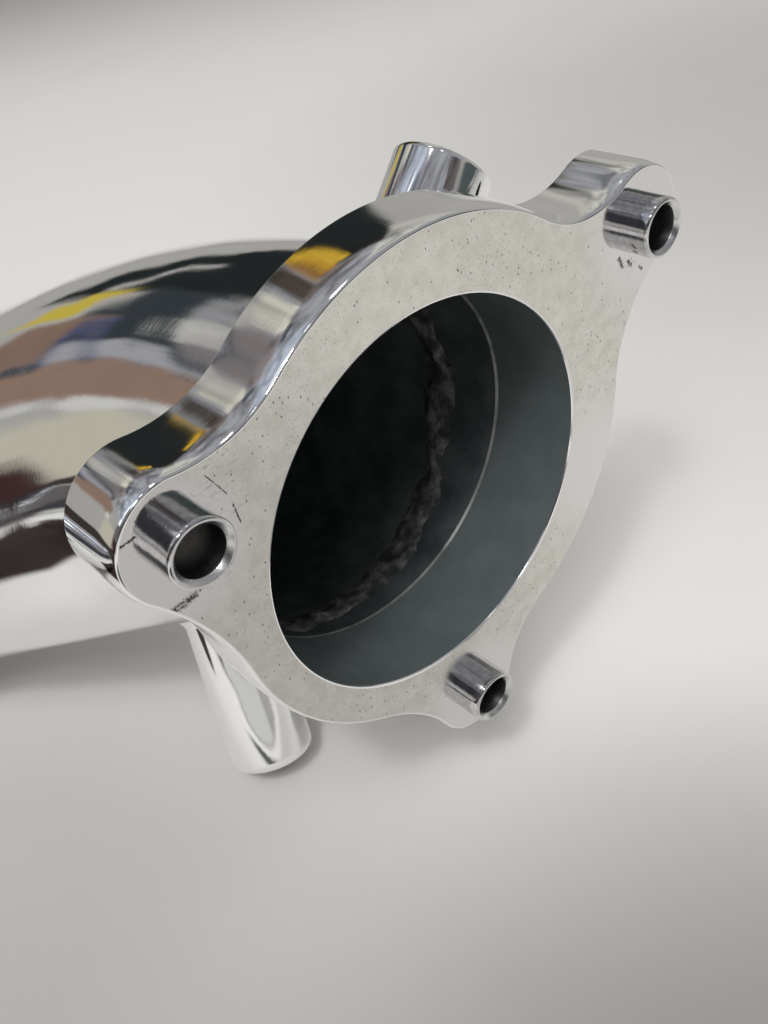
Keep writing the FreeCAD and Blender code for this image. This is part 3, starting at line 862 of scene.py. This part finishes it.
def dowel_piece(name, node, x, z):
    """Turned hollow dowel: rounded and countersunk end, slimmer shank in the plate."""
    build = Build()
    low, round_r, sink = -4.0, 0.48, 0.66
    profile = [(BOLT_R, SEAT), (SHANK_R, SEAT), (SHANK_R, SHOULDER), (DOWEL_R, 0.0), (DOWEL_R, -2.0)]
    profile += [(DOWEL_R - round_r + round_r * math.cos(a), low + round_r - round_r * math.sin(a))
                for a in steps(0, math.pi / 2, 8)]
    profile += [(BOLT_R + sink - 0.02, low + 0.01), (BOLT_R + sink - 0.07, low + 0.06),
                (BOLT_R + 0.04, low + sink), (BOLT_R, low + sink + 0.08), (BOLT_R, 1.0)]
    rings = [lift(circle(x, z, radius, DOWEL_ROUND), y) for radius, y in profile]
    kinds = [0] * (len(profile) - 6) + [2] * 4 + [1] * 2
    build.loft(rings, kinds, closed=True)
    return build.piece(name, node, "dowel_steel", [steel, dowel_bore, sink_skin], sharp=35.0)


for node, bolt in zip(("dowel_right", "dowel_left", "dowel_bottom"), bolts):
    dowel_piece(node + "_sleeve", node, bolt.x, bolt.y)


# The port's hole through the tube

# Heights of the drill's rings above the centreline: it starts in the duct and ends above the wall.
DRILL_HEIGHTS = (20.0, 24.0, 28.0, 34.0)


def drill_through(pieces, boss):
    """Cuts a boss's hole through the tube's wall in each of the pieces."""
    build = Build()
    made = build.loft([[boss.at(a, boss.hole, h) for a in BOSS_ROUND] for h in DRILL_HEIGHTS])
    build.fan(made[0])
    build.fan(made[-1])
    mesh = bpy.data.meshes.new("drill")
    mesh.from_pydata([p * MM for p in build.points], [], build.faces)
    work = bmesh.new()
    work.from_mesh(mesh)
    bmesh.ops.recalc_face_normals(work, faces=work.faces)
    work.to_mesh(mesh)
    work.free()
    tool = bpy.data.objects.new("drill", mesh)
    bpy.context.scene.collection.objects.link(tool)
    for piece in pieces:
        cut = piece.modifiers.new("Drill", "BOOLEAN")
        cut.operation, cut.solver, cut.object = "DIFFERENCE", "EXACT", tool
        cut.use_self = True
        bpy.context.view_layer.update()
        done = bpy.data.meshes.new_from_object(piece.evaluated_get(bpy.context.evaluated_depsgraph_get()))
        piece.modifiers.remove(cut)
        old = piece.data
        piece.data = done
        bpy.data.meshes.remove(old)
    bpy.data.objects.remove(tool)
    bpy.data.meshes.remove(mesh)


drill_through([stub, stub_weld, front], port)


# Floor, light and the room that the polish reflects

FLOOR_Z = -0.0676
TABLE_R = 6.0
# Painted soft shade spots on the table, which the eye sees: x, y, distances at which one is full and
# gone, and how dark it is.
SHADES = ((-20, -105, 35, 125, 0.36), (-130, 5, 40, 150, 0.52), (330, 90, 40, 340, 0.70))
# Painted shade that only reflections in the metal show, in the same columns: a light one in front and a
# dark patch at the front left.
MIRRORED_SHADES = ((-10, -110, 30, 132, 0.72), (-150, -110, 40, 105, 0.10))
TABLE_TOP = (0.635, 0.62, 0.595, 1)
# Colour of a painted dark patch at the table's left end, which only reflections in the metal show.
PAINTED_DARK_REFLECTION = (0.030, 0.020, 0.019, 1)


def floor_material():
    """A pale table top with painted soft shade. Only the polish shows its painted dark left end and dark
    front.
    """
    made, n, shader, mm = material("pale_table", 0.0)

    def shaded(tone, spots):
        for x, y, near, far, low in spots:
            gap = n.new("ShaderNodeVectorMath", operation="DISTANCE")
            socket(gap, 0, mm)
            socket(gap, 1, (x, y, FLOOR_Z * 1000))
            spot = n.smooth(gap.outputs["Value"], near, far, low, 1.0)
            tone = spot if tone is None else n.math("MULTIPLY", tone, spot)
        return tone

    parts = n.new("ShaderNodeSeparateXYZ")
    socket(parts, 0, mm)
    ray = n.new("ShaderNodeLightPath")
    # Painted shade: the table darkens further back along the view and under the painted shade spots.
    further = n.math("MULTIPLY_ADD", parts.outputs[0], 0.578, n.math("MULTIPLY", parts.outputs[1], 0.816))
    shade = shaded(n.smooth(further, 450, 1150, 1.0, 0.45), SHADES)
    shade = n.math("MULTIPLY_ADD", n.noise(mm, 0.02, 3.0), 0.05, shade)
    seen = n.mix(shade, grey(0.0), TABLE_TOP)
    mirrored = n.mix(shaded(None, MIRRORED_SHADES), grey(0.0), TABLE_TOP)
    # Painted reflection: a dark patch at the left end that glossy rays alone see.
    dark = n.smooth(parts.outputs[0], -138, -122, 1.0, 0.0)
    dark = n.math("MULTIPLY", dark, n.smooth(parts.outputs[1], 52, 62))
    dark = n.math("MULTIPLY", dark, ray.outputs["Is Glossy Ray"])
    mirrored = n.mix(dark, mirrored, PAINTED_DARK_REFLECTION)
    socket(shader, "Base Color", n.mix(ray.outputs["Is Camera Ray"], mirrored, seen))
    socket(shader, "Roughness", 0.75)
    socket(shader, "Specular IOR Level", 0.15)
    return made


top = bpy.data.meshes.new("table")
table_rim = [(TABLE_R * math.cos(a), TABLE_R * math.sin(a), FLOOR_Z) for a in ROUND]
top.from_pydata(table_rim, [], [range(AROUND)])
top.materials.append(floor_material())
table = bpy.data.objects.new("table", top)
bpy.context.scene.collection.objects.link(table)

# Cards and walls round the table: azimuth from +Y towards +X, elevation, softness, colour.
ROOM = (
    ((-180, 180), (33, 90), 5.0, (0.30, 0.305, 0.325)),
    ((48, 180), (-2, 24), 4.0, (0.40, 0.39, 0.37)),
    ((38, 66), (26, 60), 4.0, (0.50, 0.49, 0.45)),
    ((34, 46), (33, 42), 2.0, (0.30, 0.29, 0.27)),
    ((0, 30), (42, 48), 2.5, (0.13, 0.11, 0.10)),
    ((-15, 0), (37.5, 44), 1.0, (0.62, 0.60, 0.51)),
    ((-30, -15), (33, 43), 1.5, (0.20, 0.175, 0.175)),
    ((-25, -13), (44, 49), 1.5, (0.06, 0.065, 0.075)),
    ((3, 11), (36, 43), 1.5, (0.07, 0.055, 0.045)),
    ((14, 40), (30, 41), 2.0, (0.020, 0.020, 0.018)),
    ((13, 26), (35.6, 38.6), 0.8, (0.60, 0.38, 0.04)),
    ((12, 21), (38.4, 40), 0.7, (0.42, 0.20, 0.03)),
    ((8, 39.5), (9, 34), 1.5, (0.016, 0.020, 0.020)),
    ((-30, 10), (24, 33), 1.5, (0.035, 0.042, 0.048)),
    ((9, 24), (16.5, 18.5), 0.8, (0.42, 0.41, 0.39)),
    ((-1, 9), (15, 21.5), 1.2, (0.52, 0.41, 0.06)),
    ((-21, -3), (18, 26.5), 1.5, (0.22, 0.145, 0.11)),
    ((-27, -4), (26.3, 27.3), 0.6, (0.06, 0.09, 0.20)),
    ((-28, -16), (27, 31), 1.2, (0.34, 0.34, 0.36)),
    ((-14, -4), (32, 37), 1.2, (0.48, 0.47, 0.44)),
    ((-41, -25), (20, 29.5), 1.4, (0.26, 0.175, 0.135)),
    ((-44, -38), (18, 22.5), 1.0, (0.58, 0.57, 0.55)),
    ((-63, -41), (-2, 19), 2.0, (0.50, 0.47, 0.38)),
    ((-112, -62), (-30, 14), 3.0, (0.050, 0.024, 0.024)),
    ((-112, -62), (14, 34), 3.0, (0.13, 0.12, 0.12)),
    ((-78, -30), (46, 72), 3.0, (0.46, 0.50, 0.58)),
    ((-78, -46), (34, 50), 3.0, (0.40, 0.43, 0.49)),
    ((-70, -62), (30, 66), 1.5, (1.5, 1.55, 1.65)),
    ((-118, -80), (34, 72), 5.0, (0.24, 0.24, 0.28)),
    ((-170, -112), (-30, 8), 4.0, (0.60, 0.59, 0.56)),
    ((-172, -106), (7, 35), 3.0, (0.055, 0.052, 0.060)),
    ((-158, -140), (38, 45), 1.5, (0.85, 0.86, 0.88)),
    ((164, 180), (10, 46), 4.0, (0.12, 0.105, 0.105)),
    ((120, 160), (-4, 24), 5.0, (0.075, 0.09, 0.09)),
)

# Small bright ceiling lamps: azimuth, elevation, half widths, brightness.
LAMPS = ((-112, 59, 7, 3.5, 3.0), (-96, 76, 8, 1.5, 6.0), (20, 78, 16, 1.5, 5.0), (165, 74, 10, 1.5, 6.0))
ROOM_TONE = (0.38, 0.37, 0.35, 1)
DULL_LIGHT = (0.54, 0.54, 0.54, 1)
BACKDROP = (0.62, 0.60, 0.57, 1)
# How far, in degrees, the outlines of the cards wander, and the fine comb on their upper and lower ends.
SIDE_WANDER, HEIGHT_WANDER, COMB = 5.0, 2.4, 3.2


def build_world():
    """The room for the polish, even light for dull surfaces and a plain backdrop for the eye."""
    world = bpy.data.worlds.new("Studio")
    bpy.context.scene.world = world
    world.use_nodes = True
    tree = world.node_tree
    tree.nodes.clear()
    n = Nodes(tree)
    out = n.new("ShaderNodeOutputWorld")
    direction = n.new("ShaderNodeTexCoord").outputs["Generated"]
    parts = n.new("ShaderNodeSeparateXYZ")
    socket(parts, 0, direction)
    azimuth = n.math("ARCTAN2", parts.outputs[0], parts.outputs[1])
    elevation = n.math("ARCSINE", parts.outputs[2])
    ragged = n.noise(direction, 22.0, 5.0, 0.6)
    across = n.new("ShaderNodeCombineXYZ")
    socket(across, 0, azimuth)
    hair = n.noise(across.outputs[0], 60.0, 4.0, 0.7)

    def wander(value, reach):
        return n.math("MULTIPLY_ADD", value, reach, -reach / 2)

    azimuth = n.math("MULTIPLY_ADD", azimuth, math.degrees(1), wander(ragged, SIDE_WANDER))
    shift = n.math("ADD", wander(ragged, HEIGHT_WANDER), wander(hair, COMB))
    elevation = n.math("MULTIPLY_ADD", elevation, math.degrees(1), shift)
    colour = ROOM_TONE
    for (left, right), (low, high), soft, tone in ROOM:
        mask = None
        for value, a, b in ((azimuth, left, right), (elevation, low, high)):
            if a > -180:
                edge = n.smooth(value, a - soft, a + soft)
                mask = edge if mask is None else n.math("MULTIPLY", mask, edge)
            if b < 180 and b != 90:
                edge = n.smooth(value, b - soft, b + soft, 1.0, 0.0)
                mask = edge if mask is None else n.math("MULTIPLY", mask, edge)
        colour = n.mix(mask, colour, (*tone, 1))
    above = n.smooth(elevation, 32.0, 38.0, 0.0, 1.0)
    patchy = n.smooth(n.noise(direction, 7.0, 5.0, 0.65), 0.36, 0.62, 0.55, 1.25)
    colour = n.mix(above, colour, n.tint(colour, patchy))
    for az, el, wide, high, power in LAMPS:
        off_height = n.math("ABSOLUTE", n.math("SUBTRACT", elevation, el))
        off_side = n.math("ABSOLUTE", n.math("SUBTRACT", azimuth, az))
        lamp = n.math("MULTIPLY", n.smooth(off_height, high, high + 1, 1.0, 0.0),
                      n.smooth(off_side, wide, wide + 2, 1.0, 0.0))
        colour = n.mix(lamp, colour, (power, power, power, 1))
    room = n.new("ShaderNodeBackground")
    socket(room, "Color", colour)
    soft = n.new("ShaderNodeBackground")
    socket(soft, "Color", DULL_LIGHT)
    backdrop = n.new("ShaderNodeBackground")
    socket(backdrop, "Color", BACKDROP)
    ray = n.new("ShaderNodeLightPath")
    first = n.new("ShaderNodeMixShader")
    socket(first, 0, ray.outputs["Is Glossy Ray"])
    tree.links.new(soft.outputs[0], first.inputs[1])
    tree.links.new(room.outputs[0], first.inputs[2])
    second = n.new("ShaderNodeMixShader")
    socket(second, 0, ray.outputs["Is Camera Ray"])
    tree.links.new(first.outputs[0], second.inputs[1])
    tree.links.new(backdrop.outputs[0], second.inputs[2])
    tree.links.new(second.outputs[0], out.inputs["Surface"])


build_world()


def soft_lamp(name, place, size, power, mirrored=False):
    """A round lamp that points at the flange; the metal reflects it only if mirrored is set."""
    lamp = bpy.data.lights.new(name, "AREA")
    lamp.shape, lamp.size, lamp.energy = "DISK", size, power
    made = bpy.data.objects.new(name, lamp)
    bpy.context.scene.collection.objects.link(made)
    made.location = place
    made.rotation_euler = (Vector((0, 0.03, 0)) - made.location).to_track_quat("-Z", "Y").to_euler()
    made.visible_glossy = mirrored


soft_lamp("soft_key", (-0.45, -0.35, 0.95), 0.5, 6.5)
soft_lamp("back_fill", (0.10, 0.55, 0.90), 0.6, 2.5)
soft_lamp("bore_glow", (-0.41, -0.27, 0.82), 0.10, 2.0, mirrored=True)

# Camera, at the photograph's viewing angle

SENSOR, FOCAL = 36.0, 34.5457
EYE = (-0.068517, -0.08291, 0.087336)
lens = bpy.data.cameras.new("camera")
lens.sensor_width, lens.lens = SENSOR, FOCAL
lens.clip_start, lens.clip_end = 0.005, 50.0
camera = bpy.data.objects.new("camera", lens)
bpy.context.scene.collection.objects.link(camera)
right = Vector((0.720906, -0.673388, -0.16384))
up = Vector((0.528224, 0.380852, 0.758901))
back = Vector((-0.448636, -0.63364, 0.630258))
turn = Matrix((right, up, back)).transposed().to_4x4()
camera.matrix_world = Matrix.Translation(EYE) @ turn
bpy.context.scene.camera = camera

bpy.context.scene.view_settings.view_transform = "Standard"
